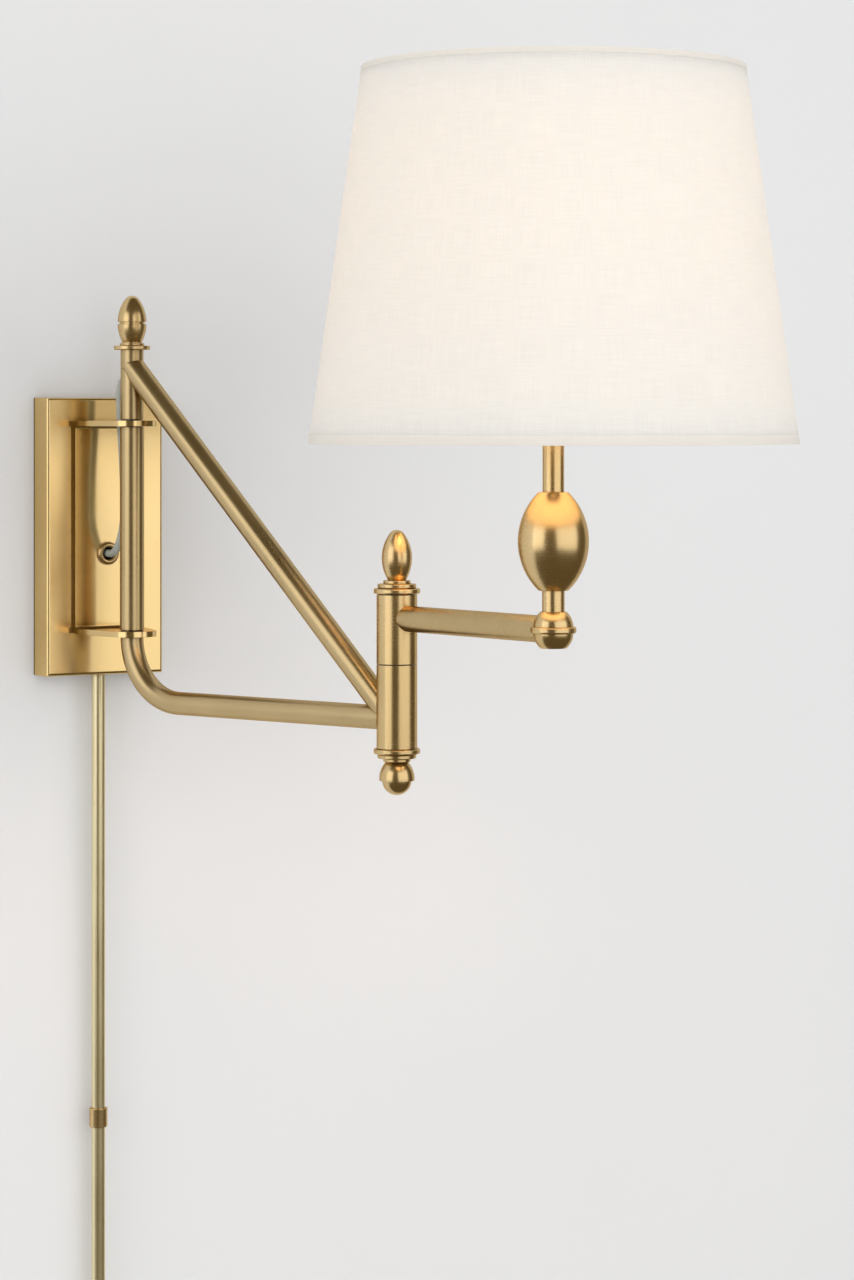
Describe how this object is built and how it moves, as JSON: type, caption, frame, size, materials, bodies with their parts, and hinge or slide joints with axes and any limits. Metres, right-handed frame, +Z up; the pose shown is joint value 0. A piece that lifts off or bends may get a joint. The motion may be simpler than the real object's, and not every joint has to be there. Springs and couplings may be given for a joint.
{
  "type": "swing arm wall sconce",
  "caption": "Swing arm wall sconce: wall plate with cord cover, braced inner arm on a pivot, elbow, outer arm with an egg-shaped stem, and a tapered linen shade.",
  "frame": {"origin": "centre of the wall plate's back face, on the wall", "axes": "+Y into the wall, +Z up, -Y out into the room, +X to the right of someone who faces the wall"},
  "size_m": [0.3082, 0.5984, 1.0531],
  "materials": {
    "aged_brass": "satin, hand rubbed",
    "bright_brass": "polished and lacquered",
    "plated_steel": "zinc plated",
    "screw_shell": "bare",
    "green_screw": "green dipped",
    "nylon": "moulded",
    "black_plastic": "moulded phenolic",
    "clear_cord": "clear vinyl over tinned copper",
    "lead": "vinyl",
    "bulb_glass": "frosted",
    "linen": "plain weave linen on a white backing"
  },
  "bodies": {
    "wall_mount": {"backplate": "aged_brass", "mounting_plate": "plated_steel", "plate_screws": "aged_brass", "ground_screw": "green_screw", "bracket": "aged_brass", "bracket_screws": "plated_steel", "pivot_bushings": "black_plastic", "grommet": "aged_brass", "cord_clamp": "black_plastic", "cord_cover_nut": "aged_brass", "cord_cover_upper": "aged_brass", "cord_cover_coupling": "aged_brass", "cord_cover_lower": "aged_brass", "cord_cover_bushing": "nylon", "lamp_cord": "clear_cord"},
    "inner_arm": {"pivot_spindle": "plated_steel", "pivot_mid_tube": "aged_brass", "pivot_upper_tube": "aged_brass", "upper_tube_plugs": "aged_brass", "pivot_washer": "aged_brass", "pivot_finial": "aged_brass", "cord_exit_bushing": "clear_cord", "lower_arm_tube": "aged_brass", "arm_root_plug": "plated_steel", "brace_tube": "aged_brass", "elbow_lower_barrel": "aged_brass", "elbow_spindle": "plated_steel", "elbow_washers": "black_plastic", "elbow_top_ring": "aged_brass", "elbow_top_disc": "aged_brass", "elbow_finial": "aged_brass", "elbow_bottom_ring": "aged_brass", "elbow_bottom_disc": "aged_brass", "elbow_acorn": "aged_brass", "lead_in_brace": "lead"},
    "outer_arm": {"elbow_upper_barrel": "aged_brass", "elbow_bushings": "black_plastic", "outer_arm_tube": "aged_brass", "hub_upper_cap": "aged_brass", "hub_ring": "aged_brass", "hub_lower_cap": "aged_brass", "lamp_pipe": "plated_steel", "stem_neck": "aged_brass", "stem_egg": "aged_brass", "stem_tube": "aged_brass", "lead_in_arm": "lead", "harp_saddle": "bright_brass", "harp": "bright_brass", "harp_finial": "bright_brass", "socket_cap": "bright_brass", "socket_shell": "bright_brass", "socket_core": "black_plastic", "screw_shell": "screw_shell", "bulb_base": "screw_shell", "bulb_glass": "bulb_glass", "shade_fabric": "linen", "shade_bottom_ring": "plated_steel", "shade_top_ring": "plated_steel", "shade_spider": "plated_steel"},
    "switch_key": {"switch_key": "black_plastic"}
  },
  "joints": [
    {"name": "wall_swing", "type": "hinge", "parent": "wall_mount", "child": "inner_arm", "pos_m": [0, -0.068, 0], "axis": [0, 0, 1], "range_deg": [-102, 58]},
    {"name": "elbow_swing", "type": "hinge", "parent": "inner_arm", "child": "outer_arm", "pos_m": [0.08932, -0.28687, -0.0474], "axis": [0, 0, 1], "range_deg": [-95, 124]},
    {"name": "switch_turn", "type": "hinge", "parent": "outer_arm", "child": "switch_key", "pos_m": [0.11084, -0.47602, 0.1057], "axis": [0, -1, 0], "continuous": true}
  ]
}
